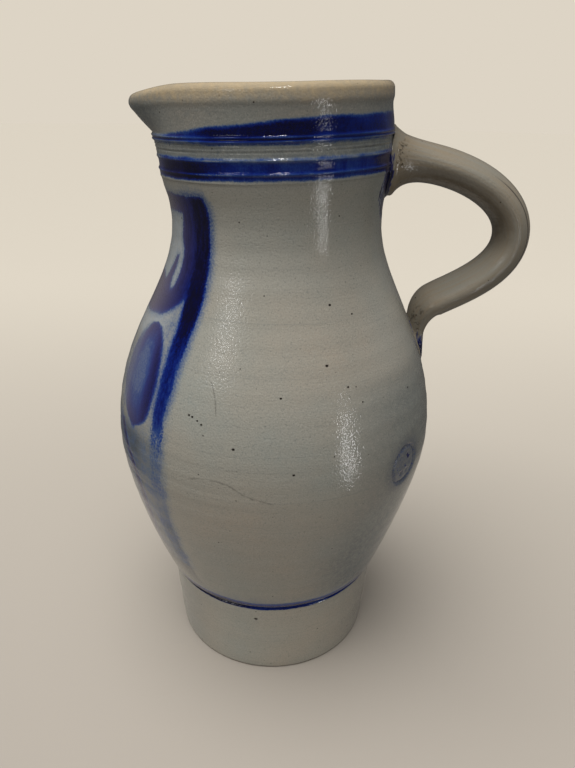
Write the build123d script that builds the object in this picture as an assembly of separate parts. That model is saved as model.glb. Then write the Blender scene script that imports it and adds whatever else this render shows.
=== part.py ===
from build123d import *
import os
from math import cos, exp, pi, radians, sin

os.makedirs("parts", exist_ok=True)

# A salt-glazed stoneware jug: one wheel-thrown body with a pulled spout, and a pulled
# handle that is stuck to it with clay slip at both ends.
# Frame: +Z up, origin at the centre of the foot, handle towards +X, spout towards -X.

# Heights, stacked from the table up (mm)
foot_height = 58.0            # table to the incised line under the belly
belly_rise = 102.0            # incised line to the widest ring
shoulder_rise = 130.0         # widest ring to the narrowest ring of the neck
neck_rise = 27.5              # narrowest ring to the underside of the collar
collar_height = 20.5          # collar with its ribs
rim_height = 22.0             # top of the collar to the top of the lip

# Outside radii
foot_radius = 67.6            # on the table
waist_radius = 71.8           # top of the foot
skirt_radius = 74.4           # bottom edge of the belly
belly_radius = 99.3
neck_radius = 60.2
collar_radius = 64.6
rim_radius = 66.3             # outside of the lip

# Clay thicknesses
wall = 8.0                    # measured level, so it is thinner across the sloping shoulder
lip_thickness = 6.4
floor_thickness = 12.0
floor_round = 11.0            # rounding between the floor and the wall inside

# How full the curves of the wall are, as shares of the rise that each one spans
skirt_fullness = 0.26
skirt_slope = 0.4             # outward run for each unit of height at the bottom edge
belly_fullness_below = 0.24
belly_fullness_above = 0.47
neck_fullness_below = 0.29
neck_fullness_above = 0.45
collar_lean = 0.2             # outward run for each unit of height under the collar

# Turned details
foot_bevel = 1.4
groove_width = 3.0
groove_depth = 0.9
ledge_height = 1.6            # from the groove out to the bottom edge of the belly
rib_width = 2.0
rib_height = 0.9
rib_gap = 0.2                 # between the two ribs of the top pair
low_rib_rise = 2.8            # rib centres above the underside of the collar
middle_rib_rise = 9.2
top_rib_drop = 1.9            # upper rib of the top pair, under the top of the collar
rim_step = 0.3                # the rim stands in a little from the collar, on both sides
rim_lap = 3.0                 # how far the rim's clay runs down into the collar

# Spout, pulled out of the rim
spout_push = 15.2             # how far its tip stands out past the rim
spout_droop = 3.6             # how far its tip lies under the rim
spout_half_angle = 46.0       # degrees each side of -X
spout_point = 3.0             # larger is more pointed
spout_throat = 0.7            # how far the middle of its wall follows the tip outwards, as a share
spout_sections = 13

# Impressed round mark on the belly
mark_angle = -39.5            # degrees from +X, on the side next to the handle
mark_rise = 1.0               # centre above the widest ring
mark_radius = 12.0
mark_line = 1.8
mark_depth = 0.8

# Handle
handle_width = 29.0
handle_thickness = 20.0
handle_reach = 77.3           # neck to the centre line at the outermost point of the bow
upper_root_rise = 5.6         # root centre above the underside of the collar
bow_drop = 41.5               # upper root down to the outermost point
elbow_drop = 81.3             # upper root down to the point where the lower arm turns to the wall
elbow_gap = 21.0              # wall to the centre line at that point
tail_drop = 121.0             # upper root down to the end of the tail
tail_cover = 1.0              # clay of the wall over the end of the tail and its slip
root_height = 40.0            # the upper root spreads where it meets the wall
root_width = 39.0
root_spread = 8.0             # the spread shrinks to about a third over this run
root_sink = 12.0              # how far the handle is carried into the wall before it is trimmed
tail_run = 30.0               # the tail narrows over this run
tail_thickness = 13.0
tail_width = 19.0
root_slope = 0.01             # rise for each unit of run where the upper arm leaves the wall
lower_arm_angle = 30.0        # degrees under level
handle_sections = 29

# How full the handle's curves are, as shares of the run that each one spans
upper_arm_fullness = 0.39
bow_fullness_above = 0.656
bow_fullness_below = 0.545
lower_arm_fullness = 0.35
elbow_fullness = 0.316
tail_fullness = 0.3

# Clay slip between the handle and the wall
slip_thickness = 1.1          # over the crests of the ribs
slip_bead = 1.6               # how far it is squeezed out round the ends of the handle

# Heights worked out from the stack
belly_level = foot_height + belly_rise
neck_level = belly_level + shoulder_rise
collar_level = neck_level + neck_rise
collar_top = collar_level + collar_height
jug_height = collar_top + rim_height
skirt_level = foot_height + groove_width / 2 + ledge_height


# Smooth wall lines, with the radii shifted by a given amount
def skirt_line(shift):
    rise = belly_level - skirt_level
    lower = skirt_fullness * rise
    return Bezier(
        (skirt_radius + shift, skirt_level),
        (skirt_radius + shift + skirt_slope * lower, skirt_level + lower),
        (belly_radius + shift, belly_level - belly_fullness_below * rise),
        (belly_radius + shift, belly_level),
    )


def shoulder_line(shift):
    return Bezier(
        (belly_radius + shift, belly_level),
        (belly_radius + shift, belly_level + belly_fullness_above * shoulder_rise),
        (neck_radius + shift, neck_level - neck_fullness_below * shoulder_rise),
        (neck_radius + shift, neck_level),
    )


def neck_line(shift):
    upper = neck_fullness_above * neck_rise
    return Bezier(
        (neck_radius + shift, neck_level),
        (neck_radius + shift, neck_level + upper),
        (collar_radius + shift - collar_lean * upper, collar_level - upper),
        (collar_radius + shift, collar_level),
    )


def rim_line(shift):
    level = jug_height - lip_thickness / 2
    return Bezier(
        (collar_radius - rim_step + shift, collar_top),
        (collar_radius - rim_step + shift, (collar_top + level) / 2),
        (rim_radius + shift, level),
    )


def foot_line():
    half = groove_width / 2
    edge = Polyline(
        (0, 0),
        (foot_radius - foot_bevel, 0),
        (foot_radius, foot_bevel),
        (waist_radius, foot_height - half),
    )
    groove = ThreePointArc(
        (waist_radius, foot_height - half),
        (waist_radius - groove_depth, foot_height),
        (waist_radius, foot_height + half),
    )
    ledge = Line((waist_radius, foot_height + half), (skirt_radius, skirt_level))
    return [edge, groove, ledge]


def rib_centres():
    top_rib = collar_top - top_rib_drop
    pair = rib_width + rib_gap
    return [collar_level + low_rib_rise, collar_level + middle_rib_rise, top_rib - pair, top_rib]


def collar_line():
    edges = []
    below = collar_level
    for centre in rib_centres():
        start = centre - rib_width / 2
        end = centre + rib_width / 2
        edges.append(Line((collar_radius, below), (collar_radius, start)))
        crest = (collar_radius + rib_height, centre)
        edges.append(ThreePointArc((collar_radius, start), crest, (collar_radius, end)))
        below = end
    edges.append(Line((collar_radius, below), (collar_radius, collar_top)))
    return edges


def turned(edges):
    return revolve(Plane.XZ * make_face(edges), Axis.Z)


def plain_collar(shift):
    return [Line((collar_radius + shift, collar_level), (collar_radius + shift, collar_top))]


# Everything inside the outer wall, filled, shifted outwards by a given amount, with a plain or ribbed collar
def filled_wall(shift, collar):
    outline = [skirt_line(shift), shoulder_line(shift), neck_line(shift)]
    outline += collar
    outline += [
        Line((collar_radius + shift, collar_top), (collar_radius - rim_step + shift, collar_top)),
        rim_line(shift),
        Polyline(
            (rim_radius + shift, jug_height - lip_thickness / 2),
            (0, jug_height - lip_thickness / 2),
            (0, skirt_level),
            (skirt_radius + shift, skirt_level),
        ),
    ]
    return turned(outline)


# Foot, belly, neck and ribbed collar, filled and then hollowed
def vessel_outside():
    outline = foot_line()
    outline += [skirt_line(0), shoulder_line(0), neck_line(0)]
    outline += collar_line()
    outline.append(Polyline((collar_radius, collar_top), (0, collar_top), (0, 0)))
    return turned(outline)


def vessel_inside():
    base_radius = foot_radius - wall
    round_start = (base_radius - floor_round, floor_thickness)
    round_end = (base_radius, floor_thickness + floor_round)
    outline = [
        Line((0, floor_thickness), round_start),
        TangentArc(round_start, round_end, tangent=(1, 0)),
        Polyline(round_end, (waist_radius - wall, foot_height), (skirt_radius - wall, skirt_level)),
        skirt_line(-wall),
        shoulder_line(-wall),
        neck_line(-wall),
        Polyline(
            (collar_radius - wall, collar_level),
            (collar_radius - wall, collar_top),
            (0, collar_top),
            (0, floor_thickness),
        ),
    ]
    return turned(outline)


# Upright section of the rim; out and down move its lip towards the spout's tip
def rim_section(out, down):
    lip_level = jug_height - lip_thickness / 2 - down
    middle = (collar_top + lip_level) / 2
    bulge = spout_throat * out
    outer = rim_radius + out
    inner = outer - lip_thickness
    outer_foot = collar_radius - rim_step
    inner_foot = collar_radius - wall + rim_step
    edges = [
        Bezier((outer_foot, collar_top), (outer_foot + bulge, middle), (outer, lip_level)),
        ThreePointArc(
            (outer, lip_level),
            (outer - lip_thickness / 2, lip_level + lip_thickness / 2),
            (inner, lip_level),
        ),
        Bezier((inner, lip_level), (inner_foot + bulge, middle), (inner_foot, collar_top)),
        Polyline(
            (inner_foot, collar_top),
            (inner_foot, collar_top - rim_lap),
            (outer_foot, collar_top - rim_lap),
            (outer_foot, collar_top),
        ),
    ]
    return make_face(edges)


def spout_share(angle):
    return cos(pi / 2 * angle / spout_half_angle) ** spout_point


def upright_plane(angle):
    turn = radians(angle)
    return Plane(origin=(0, 0, 0), x_dir=(cos(turn), sin(turn), 0), z_dir=(sin(turn), -cos(turn), 0))


def rim_with_spout():
    plain = upright_plane(180 + spout_half_angle) * rim_section(0, 0)
    ring = revolve(plain, Axis.Z, 360 - 2 * spout_half_angle)
    steps = spout_sections - 1
    sections = []
    for step in range(spout_sections):
        angle = spout_half_angle * (2 * step / steps - 1)
        share = 0 if step in (0, steps) else spout_share(angle)
        face = rim_section(spout_push * share, spout_droop * share)
        sections.append(upright_plane(180 + angle) * face)
    return ring + loft(sections)


def impressed_mark():
    turn = radians(mark_angle)
    outward = (cos(turn), sin(turn), 0)
    level = belly_level + mark_rise
    depth = 2 * wall
    seat = Plane(
        origin=((belly_radius - depth) * cos(turn), (belly_radius - depth) * sin(turn), level),
        x_dir=(0, 0, 1),
        z_dir=outward,
    )
    ring = Circle(mark_radius) - Circle(mark_radius - mark_line)
    return extrude(seat * ring, 2 * depth) - filled_wall(-mark_depth, plain_collar(-mark_depth))


def thrown_body():
    body = vessel_outside() - vessel_inside()
    body += rim_with_spout()
    return body - impressed_mark()


# Radius of the shoulder at a height
def shoulder_radius(level):
    line = shoulder_line(0)
    low, high = 0.0, 1.0
    for _ in range(40):
        share = (low + high) / 2
        if line.position_at(share).Y < level:
            low = share
        else:
            high = share
    return line.position_at(low).X


# Centre line of the handle: root, bow, lower arm, elbow and tail
def handle_path():
    root_level = collar_level + upper_root_rise
    bow_x = neck_radius + handle_reach
    bow_level = root_level - bow_drop
    elbow_level = root_level - elbow_drop
    tail_level = root_level - tail_drop
    elbow_x = shoulder_radius(elbow_level) + elbow_gap
    tail_x = shoulder_radius(tail_level) - tail_cover - slip_bead - tail_thickness / 2
    arm_x = cos(radians(lower_arm_angle))
    arm_z = sin(radians(lower_arm_angle))
    upper_pull = upper_arm_fullness * (bow_x - collar_radius)
    bow_pull_up = bow_fullness_above * bow_drop
    bow_pull_down = bow_fullness_below * (elbow_drop - bow_drop)
    arm_pull = lower_arm_fullness * (bow_x - elbow_x)
    elbow_pull = elbow_fullness * (elbow_drop - bow_drop)
    tail_pull = tail_fullness * (tail_drop - elbow_drop)
    root = (collar_radius, root_level)
    bow = (bow_x, bow_level)
    elbow = (elbow_x, elbow_level)
    tail = (tail_x, tail_level)
    lines = [
        Line((collar_radius - root_sink, root_level - root_slope * root_sink), root),
        Bezier(
            root,
            (collar_radius + upper_pull, root_level + root_slope * upper_pull),
            (bow_x, bow_level + bow_pull_up),
            bow,
        ),
        Bezier(
            bow,
            (bow_x, bow_level - bow_pull_down),
            (elbow_x + arm_pull * arm_x, elbow_level + arm_pull * arm_z),
            elbow,
        ),
        Bezier(
            elbow,
            (elbow_x - elbow_pull * arm_x, elbow_level - elbow_pull * arm_z),
            (tail_x, tail_level + tail_pull),
            tail,
        ),
    ]
    return Wire([Plane.XZ * line for line in lines])


# Thickness and width of the handle, by distance from the wall and distance to the tail's end
def handle_size(run, left):
    spread = exp(-max(run, 0) / root_spread)
    share = max(0, 1 - left / tail_run)
    narrowing = share * share * (3 - 2 * share)
    thickness = handle_thickness + (root_height - handle_thickness) * spread
    width = handle_width + (root_width - handle_width) * spread
    thickness -= (handle_thickness - tail_thickness) * narrowing
    width -= (handle_width - tail_width) * narrowing
    return thickness, width


# Oval sections along the handle, made fuller all round by a given amount
def handle_blank(fuller):
    path = handle_path()
    sections = []
    for step in range(handle_sections):
        share = step / (handle_sections - 1)
        along = share * path.length
        thickness, width = handle_size(along - root_sink, path.length - along)
        plane = Plane(origin=path.position_at(share), x_dir=(0, 1, 0), z_dir=path.tangent_at(share))
        sections.append(plane * Ellipse(width / 2 + fuller, thickness / 2 + fuller))
    return loft(sections)


def handle_and_lutings():
    slip_depth = rib_height + slip_thickness
    slip_face = filled_wall(slip_depth, plain_collar(slip_depth))
    handle = handle_blank(0) - slip_face
    layer = handle_blank(slip_bead) & slip_face
    lutings = (layer - filled_wall(0, collar_line())).solids().sort_by(Axis.Z)
    return handle, lutings[-1], lutings[0]


body = thrown_body()
handle, upper_luting, lower_luting = handle_and_lutings()
nodes = {
    "thrown_body": body,
    "pulled_handle": handle,
    "upper_luting": upper_luting,
    "lower_luting": lower_luting,
}
for name, shape in nodes.items():
    box = shape.bounding_box()
    print(name, len(shape.solids()), round(shape.volume), box.min, box.max)
    export_step(shape, f"parts/{name}.step")
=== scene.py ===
import math
import bpy
import numpy as np
from mathutils import Matrix, Vector


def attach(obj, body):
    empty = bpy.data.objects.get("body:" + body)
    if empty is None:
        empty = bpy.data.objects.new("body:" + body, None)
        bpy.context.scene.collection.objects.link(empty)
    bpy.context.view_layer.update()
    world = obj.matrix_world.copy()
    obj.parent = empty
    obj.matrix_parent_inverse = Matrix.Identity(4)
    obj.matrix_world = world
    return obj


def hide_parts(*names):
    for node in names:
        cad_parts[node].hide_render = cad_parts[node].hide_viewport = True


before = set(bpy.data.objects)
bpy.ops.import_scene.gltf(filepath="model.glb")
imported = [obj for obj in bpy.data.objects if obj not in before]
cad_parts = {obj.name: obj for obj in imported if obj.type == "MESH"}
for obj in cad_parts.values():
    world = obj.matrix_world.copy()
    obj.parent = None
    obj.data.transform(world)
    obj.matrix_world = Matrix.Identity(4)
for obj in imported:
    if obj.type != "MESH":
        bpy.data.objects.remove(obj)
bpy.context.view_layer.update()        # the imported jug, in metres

mm = 0.001
print("frame loaded:", len(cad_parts), "nodes")


# sRGB numbers as a paint chart gives them, turned into a linear colour
def chart(red, green, blue):
    linear = [((c / 255 + 0.055) / 1.055) ** 2.4 if c > 10 else c / 3294.6 for c in (red, green, blue)]
    return (*linear, 1.0)


# A socket that takes part in sums: each operator adds its Math node
class Wire:
    def __init__(self, tree, socket):
        self.tree = tree
        self.socket = socket

    def node(self, kind, settings=None, values=None, out=0):
        made = self.tree.nodes.new("ShaderNode" + kind)
        for name, value in (settings or {}).items():
            if name == "stops":
                setStops(made.color_ramp.elements, value)
            elif name == "points":
                setPoints(made.mapping, value)
            else:
                setattr(made, name, value)
        for name, value in (values or {}).items():
            if isinstance(value, Wire):
                self.tree.links.new(value.socket, made.inputs[name])
            else:
                made.inputs[name].default_value = value
        return Wire(self.tree, made.outputs[out])

    def math(self, operation, *parts):
        return self.node("Math", {"operation": operation}, dict(enumerate(parts)))

    def __add__(self, other):
        return self.math("ADD", self, other)

    def __radd__(self, other):
        return self.math("ADD", other, self)

    def __sub__(self, other):
        return self.math("SUBTRACT", self, other)

    def __rsub__(self, other):
        return self.math("SUBTRACT", other, self)

    def __mul__(self, other):
        return self.math("MULTIPLY", self, other)

    def __rmul__(self, other):
        return self.math("MULTIPLY", other, self)

    def __truediv__(self, other):
        return self.math("DIVIDE", self, other)

    def __pow__(self, other):
        return self.math("POWER", self, other)

    def __abs__(self):
        return self.math("ABSOLUTE", self)

    def least(self, other):
        return self.math("MINIMUM", self, other)

    def most(self, other):
        return self.math("MAXIMUM", self, other)

    # 0 below the first value, 1 above the second, eased between them
    def ease(self, low, high):
        return self.node("MapRange", {"interpolation_type": "SMOOTHSTEP"}, {0: self, 1: low, 2: high})

    # 1 between the two values, easing off over the given softness outside them
    def within(self, low, high, soft):
        return self.ease(low - soft, low) * (1 - self.ease(high, high + soft))

    # a smooth line through (input, output) points
    def curve(self, points):
        ins = [p[0] for p in points]
        outs = [p[1] for p in points]
        inSpan = max(ins) - min(ins)
        outSpan = max(outs) - min(outs)
        unit = [((i - min(ins)) / inSpan, (o - min(outs)) / outSpan) for i, o in sorted(points)]
        share = (self - min(ins)) / inSpan
        return share.node("FloatCurve", {"points": unit}, {1: share}) * outSpan + min(outs)

    def split(self):
        first = self.node("SeparateXYZ", {}, {0: self})
        return [Wire(self.tree, socket) for socket in first.socket.node.outputs]

    def stretched(self, x, y, z):
        return self.node("VectorMath", {"operation": "MULTIPLY"}, {0: self, 1: (x, y, z)})

    # noise about zero, from the place that this vector gives
    def noise(self, scale, detail, roughness=0.5):
        values = {"Vector": self, "Scale": scale, "Detail": detail, "Roughness": roughness}
        return self.node("TexNoise", {}, values) - 0.5

    # close-set round bumps, as on orange peel: 1 at their tops
    def bumps(self, scale):
        values = {"Vector": self, "Scale": scale, "Smoothness": 0.4}
        away = self.node("TexVoronoi", {"feature": "SMOOTH_F1"}, values)
        return 1 - away * away

    # scattered round specks: 1 at their centres, 0 past the given size
    def specks(self, scale, size, share):
        cells = self.node("TexVoronoi", {}, {"Vector": self, "Scale": scale})
        pick = Wire(self.tree, cells.socket.node.outputs["Color"]).split()[0]
        return (1 - cells.ease(size * 0.4, size)) * (1 - pick.ease(share, share + 0.01))

    # this value, from 0 to 1, moves the first colour to the second
    def tint(self, first, second):
        return self.node("Mix", {"data_type": "RGBA"}, {0: self, 6: first, 7: second}, 2)


def setStops(elements, stops):
    while len(elements) < len(stops):
        elements.new(1.0)
    for element, (position, colour) in zip(elements, stops):
        element.position = position
        element.color = colour


def setPoints(mapping, points):
    line = mapping.curves[0].points
    while len(line) < len(points):
        line.new(0.5, 0.5)
    for point, (across, up) in zip(line, points):
        point.location = (across, up)
    mapping.update()


# A material with its one shader, and the place on the piece in millimetres
def newGlaze(name):
    material = bpy.data.materials.new(name)
    material.use_nodes = True
    tree = material.node_tree
    shader = tree.nodes["Principled BSDF"]
    place = Wire(tree, tree.nodes.new("ShaderNodeTexCoord").outputs["Object"])
    return material, shader, place.stretched(1 / mm, 1 / mm, 1 / mm)


def feed(shader, name, value):
    if isinstance(value, Wire):
        value.tree.links.new(value.socket, shader.inputs[name])
    else:
        shader.inputs[name].default_value = value


def bump(height, distance):
    return height.node("Bump", {}, {"Height": height, "Distance": distance * mm})


# Points along a Bezier curve of any order
def bezier(corners, count):
    share = np.linspace(0, 1, count)[:, None]
    layers = [np.array(corner, float)[None, :] + 0 * share for corner in corners]
    while len(layers) > 1:
        layers = [(1 - share) * a + share * b for a, b in zip(layers, layers[1:])]
    return layers[0]


def eased(value, low, high):
    share = np.clip((value - low) / (high - low), 0, 1)
    return share * share * (3 - 2 * share)


def bell(value, centre, width):
    return np.exp(-((value - centre) / width) ** 2)


# A mesh object from vertices in millimetres, smooth, with its bake map
def makePiece(name, points, faces, corners, material, nodeName):
    mesh = bpy.data.meshes.new(name)
    mesh.from_pydata((np.array(points) * mm).tolist(), [], faces)
    mesh.polygons.foreach_set("use_smooth", [True] * len(mesh.polygons))
    layer = mesh.uv_layers.new(name="OFBake")
    layer.data.foreach_set("uv", np.array(corners, np.float32).ravel())
    mesh.materials.append(material)
    piece = bpy.data.objects.new(name, mesh)
    bpy.context.scene.collection.objects.link(piece)
    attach(piece, "root")
    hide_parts(nodeName)
    print(name, "made:", len(mesh.vertices), "points")
    return piece


# Faces and bake corners of a tube of rows that closes round, with a cap point at each end
def tubeFaces(rowCount, columnCount, across, along):
    faces = []
    corners = []
    for row in range(rowCount - 1):
        for column in range(columnCount):
            after = (column + 1) % columnCount
            here = row * columnCount
            above = here + columnCount
            faces.append((here + column, here + after, above + after, above + column))
            u0, u1 = across[column], across[column + 1]
            v0, v1 = along[row + 1], along[row + 2]
            corners += [(u0, v0), (u1, v0), (u1, v1), (u0, v1)]
    first = rowCount * columnCount
    last = (rowCount - 1) * columnCount
    for column in range(columnCount):
        after = (column + 1) % columnCount
        u0, u1 = across[column], across[column + 1]
        faces.append((first, after, column))
        corners += [((u0 + u1) / 2, along[0]), (u1, along[1]), (u0, along[1])]
        faces.append((first + 1, last + column, last + after))
        corners += [((u0 + u1) / 2, along[-1]), (u0, along[-2]), (u1, along[-2])]
    return faces, corners


# The thrown body: sizes in millimetres, as the solid has them
jugBody = {
    "footHeight": 58.0, "bellyLevel": 160.0, "neckLevel": 290.0, "collarLevel": 317.5,
    "collarTop": 338.0, "jugHeight": 360.0,
    "footRadius": 67.6, "waistRadius": 71.8, "skirtRadius": 74.4, "bellyRadius": 99.3,
    "neckRadius": 60.2, "collarRadius": 64.6, "rimRadius": 66.3,
    "wall": 8.0, "lipThickness": 6.4, "floorThickness": 12.0, "floorRound": 11.0,
    "skirtFullness": 0.26, "skirtSlope": 0.4, "bellyBelow": 0.24, "bellyAbove": 0.47,
    "neckBelow": 0.29, "neckAbove": 0.45, "collarLean": 0.2,
    "footBevel": 1.4, "grooveWidth": 3.0, "grooveDepth": 0.9, "ledgeHeight": 1.6, "ledgeCurve": 1.5,
    "spoutPush": 13.4, "spoutDroop": 3.6, "spoutHalfAngle": 46.0, "spoutPoint": 3.0,
    "spoutThroat": 0.7, "spoutNose": 0.9,
    "collarPull": 0.2, "pullFrom": 321.0,                       # share of the push that the collar follows
    "thumbPress": 0.7, "thumbTurn": 57.0, "thumbWidth": 9.0,    # thumb marks beside the spout
    "tilt": 2.4, "tiltFrom": 270.0, "tiltTo": 320.0,            # degrees that the mouth leans to the spout
    "soleHollow": 0.5, "soleRadius": 60.0,
}

# How close the mesh is: rows in each stretch, steps in millimetres, columns in degrees
bodyMesh = {
    "wallPoints": (80, 100, 40),
    "sole": 9, "bevel": 5, "foot": 16, "groove": 11, "ledge": 6, "rim": 25, "lip": 13,
    "innerRim": 13, "innerCollar": 7, "innerWall": 42, "innerFoot": 6, "innerRound": 8, "floor": 6,
    "soleShares": (0.01, 0.97), "floorShares": (0.9, 0.1), "lipInner": (1.9, 3.1),
    "wallStep": 2.3, "markStep": 0.62, "collarStep": 0.46, "ledgeGap": 1.2, "rowGap": 1.0,
    "markMargin": 2.0, "collarMargin": 5.0,
    "columnStep": 1.6, "fineStep": 0.4, "fineSpan": 9.2, "firstColumn": -270.0, "lastColumn": 89.99,
}

# What the wheel and the hands left on the clay: depths in millimetres,
# and the heights between which they start or end
thrown = {
    "ring": 0.1, "ringSpacing": 12.0, "fineRing": 0.04, "fineSpacing": 4.7,
    "ringSwell": (0.6, 0.4), "swellRise": 23.0, "ringsFrom": (62, 72), "ringsTo": (312, 316),
    "oval": 0.4, "ovalTurn": 0.9, "lobe": 0.25, "lobeRise": 60.0, "ovalFrom": (5, 120), "ovalTo": (290, 340),
    "footRing": 0.12, "footRingRise": 3.1, "footRingTo": (50, 56),
    "ribRagged": 0.25, "ribFine": 0.2,
    "lipRoll": 0.35, "lipRollAt": (349.5, 352.4), "lipFall": 1.4, "lipFallAt": (351.5, 359.5),
    "rimPress": 2.2, "rimPressAt": (338, 352),                  # the rim is pressed in over the handle
    "rimWave": 0.35, "rimWaveTurn": 0.6, "rimRipple": 0.15, "rimWaveAt": (345, 358),
    "innerRing": 0.35, "innerRingAt": (20, 40), "innerRingTop": 330.0,
    "wander": [(-0.8, 100, 45), (1.0, 255, 35)], "mouthShift": 1.5, "mouthShiftAt": (295, 350),
}

# Turned relief round the collar: height, half width, how far it stands out
collarRelief = [
    (316.0, 0.6, 0.25), (320.0, 0.8, 0.65), (326.3, 0.9, 0.6), (330.0, 0.4, -0.3), (331.8, 0.4, -0.3),
    (333.3, 0.6, -0.4), (334.7, 0.7, 0.75), (336.6, 0.7, 0.75),
]

# The impressed round mark: a sunk ring and a plain six-dot rosette
roundMark = {
    "turn": -38.4, "level": 161.0, "radius": 13.2, "dish": 0.45, "edgeIn": 1.2, "edgeOut": 0.6,
    "ringRadius": 11.7, "ringWidth": 1.0, "ringDepth": 0.75,
    "dotCircle": 6.0, "dotSize": 1.5, "dotHeight": 0.6, "dots": 6,
}


# Radius of the smooth outer wall against height, from the ledge over the foot up to the collar
def smoothWall():
    s = jugBody
    ledge = s["footHeight"] + s["grooveWidth"] / 2 + s["ledgeHeight"]
    rise = s["bellyLevel"] - ledge
    lower = s["skirtFullness"] * rise
    shoulder = s["neckLevel"] - s["bellyLevel"]
    neck = s["neckAbove"] * (s["collarLevel"] - s["neckLevel"])
    skirtPoints, shoulderPoints, neckPoints = bodyMesh["wallPoints"]
    skirtLine = bezier([
        (s["skirtRadius"], ledge),
        (s["skirtRadius"] + s["skirtSlope"] * lower, ledge + lower),
        (s["bellyRadius"], s["bellyLevel"] - s["bellyBelow"] * rise),
        (s["bellyRadius"], s["bellyLevel"]),
    ], skirtPoints)
    shoulderLine = bezier([
        (s["bellyRadius"], s["bellyLevel"]),
        (s["bellyRadius"], s["bellyLevel"] + s["bellyAbove"] * shoulder),
        (s["neckRadius"], s["neckLevel"] - s["neckBelow"] * shoulder),
        (s["neckRadius"], s["neckLevel"]),
    ], shoulderPoints)
    neckLine = bezier([
        (s["neckRadius"], s["neckLevel"]),
        (s["neckRadius"], s["neckLevel"] + neck),
        (s["collarRadius"] - s["collarLean"] * neck, s["collarLevel"] - neck),
        (s["collarRadius"], s["collarLevel"]),
    ], neckPoints)
    collar = [(s["collarRadius"], s["collarTop"])]
    return np.concatenate([skirtLine, shoulderLine[1:], neckLine[1:], collar])


wallLine = smoothWall()


def wallRadius(level):
    return np.interp(level, wallLine[:, 1], wallLine[:, 0])


# Rows from the middle of the underside, up the outside, over the lip and down the inside.
# Each row is radius, height, share of the spout's push, share of its droop, and 1 on the inside.
def bodyRows():
    s = jugBody
    m = bodyMesh
    blocks = []

    def add(radius, level, push=0.0, droop=0.0, inside=0.0):
        parts = np.broadcast_arrays(radius, level, push, droop, inside)
        blocks.append(np.column_stack([np.atleast_1d(p) for p in parts]))

    def swing(share):
        share = np.minimum(share / s["spoutNose"], 1)
        follow = 2 * share * (1 - share) * s["spoutThroat"] + share * share
        return s["collarPull"] + (1 - s["collarPull"]) * follow

    def pulled(heights):
        return s["collarPull"] * eased(heights, s["pullFrom"], s["collarTop"])

    # underside, foot, groove and ledge
    bottom = s["footRadius"] - s["footBevel"]
    half = s["grooveWidth"] / 2
    ledge = s["footHeight"] + half + s["ledgeHeight"]
    add(bottom * np.sqrt(np.linspace(*m["soleShares"], m["sole"])), 0)
    corner = np.radians(np.linspace(-90, 0, m["bevel"]))
    add(bottom + s["footBevel"] * np.cos(corner), s["footBevel"] * (1 + np.sin(corner)))
    footLevels = np.linspace(s["footBevel"], s["footHeight"] - half, m["foot"])[1:]
    footShare = (footLevels - s["footBevel"]) / (s["footHeight"] - half - s["footBevel"])
    add(s["footRadius"] + (s["waistRadius"] - s["footRadius"]) * footShare, footLevels)
    across = np.linspace(-1, 1, m["groove"])[1:]
    add(s["waistRadius"] - s["grooveDepth"] * (1 - across ** 2), s["footHeight"] + half * across)
    step = np.linspace(0, 1, m["ledge"])[1:]
    ledgeRise = ledge - s["ledgeHeight"] * (1 - step) ** s["ledgeCurve"]
    add(s["waistRadius"] + (s["skirtRadius"] - s["waistRadius"]) * step, ledgeRise)

    # outer wall, closer rows over the mark and the collar
    mark = roundMark["level"]
    span = roundMark["radius"] + m["markMargin"]
    collarFoot = s["collarLevel"] - m["collarMargin"]
    levels = np.concatenate([
        np.arange(ledge + m["ledgeGap"], mark - span, m["wallStep"]),
        np.arange(mark - span, mark + span, m["markStep"]),
        np.arange(mark + span + m["rowGap"], collarFoot - m["rowGap"], m["wallStep"]),
        np.arange(collarFoot, s["collarTop"], m["collarStep"]),
    ])
    add(wallRadius(levels), levels, pulled(levels))

    # rim and lip
    lipHalf = s["lipThickness"] / 2
    lipLevel = s["jugHeight"] - lipHalf
    t = np.linspace(0, 1, m["rim"])
    rise = s["collarTop"] + (lipLevel - s["collarTop"]) * t
    add(s["collarRadius"] + (s["rimRadius"] - s["collarRadius"]) * t * t, rise, swing(t), t)
    turn = np.radians(np.linspace(0, 180, m["lip"]))[1:]
    lipRadius = s["rimRadius"] - lipHalf + lipHalf * np.cos(turn)
    add(lipRadius, lipLevel + lipHalf * np.sin(turn), 1, 1, eased(turn, *m["lipInner"]))

    # inside of the rim, the wall and the floor
    innerRim = s["collarRadius"] - s["wall"]
    t = np.linspace(1, 0, m["innerRim"])[1:]
    rise = s["collarTop"] + (lipLevel - s["collarTop"]) * t
    add(innerRim + (s["rimRadius"] - s["lipThickness"] - innerRim) * t * t, rise, swing(t), t, 1)
    collarLevels = np.linspace(s["collarTop"], s["pullFrom"], m["innerCollar"])[1:]
    wallLevels = np.linspace(s["pullFrom"], ledge, m["innerWall"])[1:]
    levels = np.concatenate([collarLevels, wallLevels])
    add(wallRadius(levels) - s["wall"], levels, pulled(levels), 0, 1)
    baseRadius = s["footRadius"] - s["wall"]
    topRadius = s["skirtRadius"] - s["wall"]
    roundTop = s["floorThickness"] + s["floorRound"]
    t = np.linspace(0, 1, m["innerFoot"])[1:]
    add(topRadius + (baseRadius - topRadius) * t, ledge + (roundTop - ledge) * t, 0, 0, 1)
    turn = np.radians(np.linspace(0, -90, m["innerRound"]))[1:]
    roundMid = baseRadius - s["floorRound"]
    add(roundMid + s["floorRound"] * np.cos(turn), roundTop + s["floorRound"] * np.sin(turn), 0, 0, 1)
    add(roundMid * np.linspace(*m["floorShares"], m["floor"]), s["floorThickness"], 0, 0, 1)
    return np.concatenate(blocks)


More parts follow.
